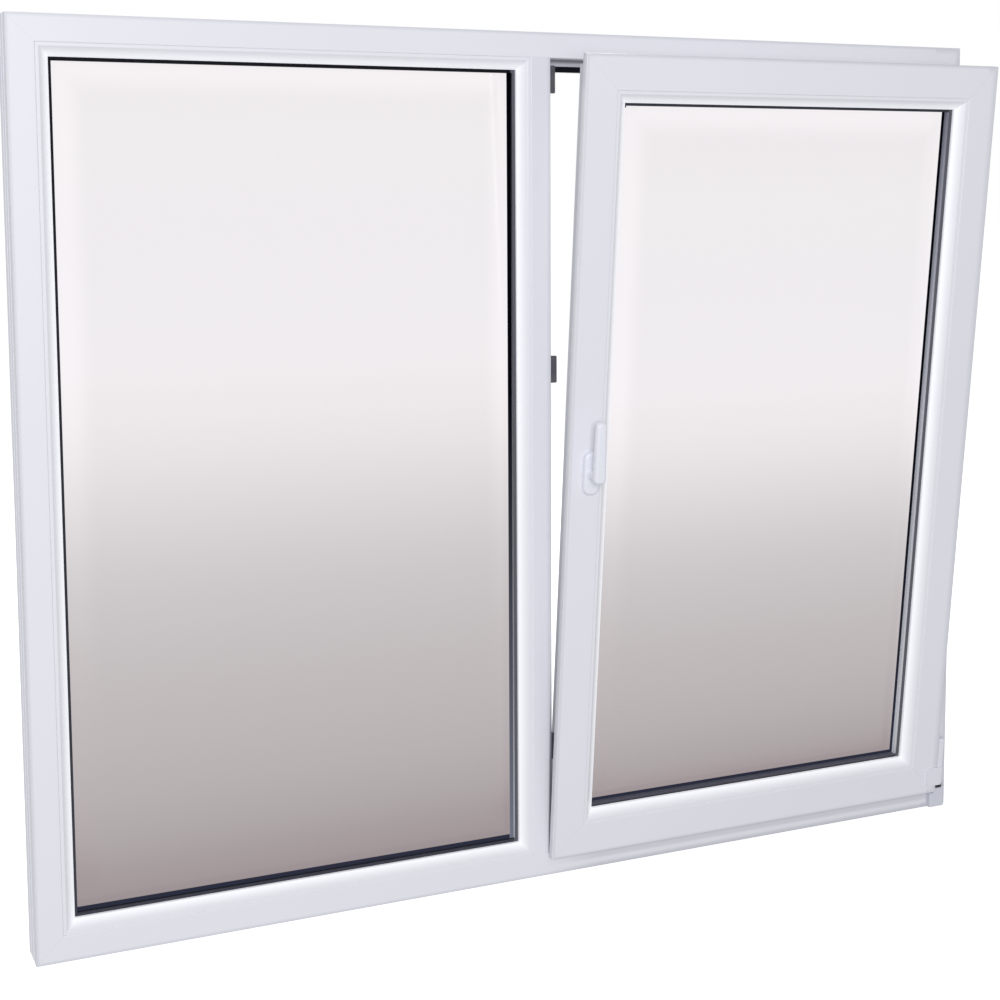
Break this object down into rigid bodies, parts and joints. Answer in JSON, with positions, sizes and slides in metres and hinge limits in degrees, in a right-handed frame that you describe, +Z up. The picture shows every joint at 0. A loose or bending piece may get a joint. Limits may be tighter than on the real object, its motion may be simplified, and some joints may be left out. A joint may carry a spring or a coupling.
{
  "type": "window",
  "caption": "White plastic window with a fixed light beside a tilt-and-turn sash that stands tilted in.",
  "frame": {"origin": "middle of the sill's underside: mid width and mid depth of the outer frame", "axes": "+Z up, +Y to the weather side, -Y into the room, +X to the right seen from the room"},
  "size_m": [1.7, 0.2372, 1.45],
  "materials": {
    "pvc_white": "smooth white extruded plastic, slightly cool, soft gloss",
    "glass": "clear float glass",
    "seal_black": "black rubber, satin",
    "spacer_grey": "matt mill-finish aluminium",
    "gear_steel": "zinc-plated, silver",
    "keep_dark": "dark coated zinc",
    "fitting_white": "white powder coat and white plastic covers"
  },
  "bodies": {
    "root": {"frame_sill": "pvc_white", "frame_head": "pvc_white", "frame_left_jamb": "pvc_white", "frame_right_jamb": "pvc_white", "mullion": "pvc_white", "fixed_bead_bottom": "pvc_white", "fixed_bead_top": "pvc_white", "fixed_bead_left": "pvc_white", "fixed_bead_right": "pvc_white", "sash_bottom_rail": "pvc_white", "sash_top_rail": "pvc_white", "sash_lock_stile": "pvc_white", "sash_hinge_stile": "pvc_white", "sash_bead_bottom": "pvc_white", "sash_bead_top": "pvc_white", "sash_bead_left": "pvc_white", "sash_bead_right": "pvc_white", "drain_caps": "pvc_white", "fixed_pane_inner": "glass", "fixed_pane_outer": "glass", "sash_pane_inner": "glass", "sash_pane_outer": "glass", "fixed_seal_inner": "seal_black", "fixed_seal_outer": "seal_black", "sash_seal_inner": "seal_black", "sash_seal_outer": "seal_black", "frame_rebate_seal": "seal_black", "sash_flap_seal": "seal_black", "fixed_spacer": "spacer_grey", "sash_spacer": "spacer_grey", "gear_lock_side": "gear_steel", "gear_hinge_side": "gear_steel", "gear_top": "gear_steel", "gear_bottom": "gear_steel", "corner_drive_bottom": "gear_steel", "corner_drive_top": "gear_steel", "stay_arm": "gear_steel", "stay_slider": "gear_steel", "corner_hinge_pin": "gear_steel", "keeps": "keep_dark", "handle_rosette": "fitting_white", "handle_lever": "fitting_white", "corner_hinge_bearing": "fitting_white", "corner_hinge_barrel": "fitting_white", "stay_bearing": "fitting_white"}
  },
  "joints": []
}
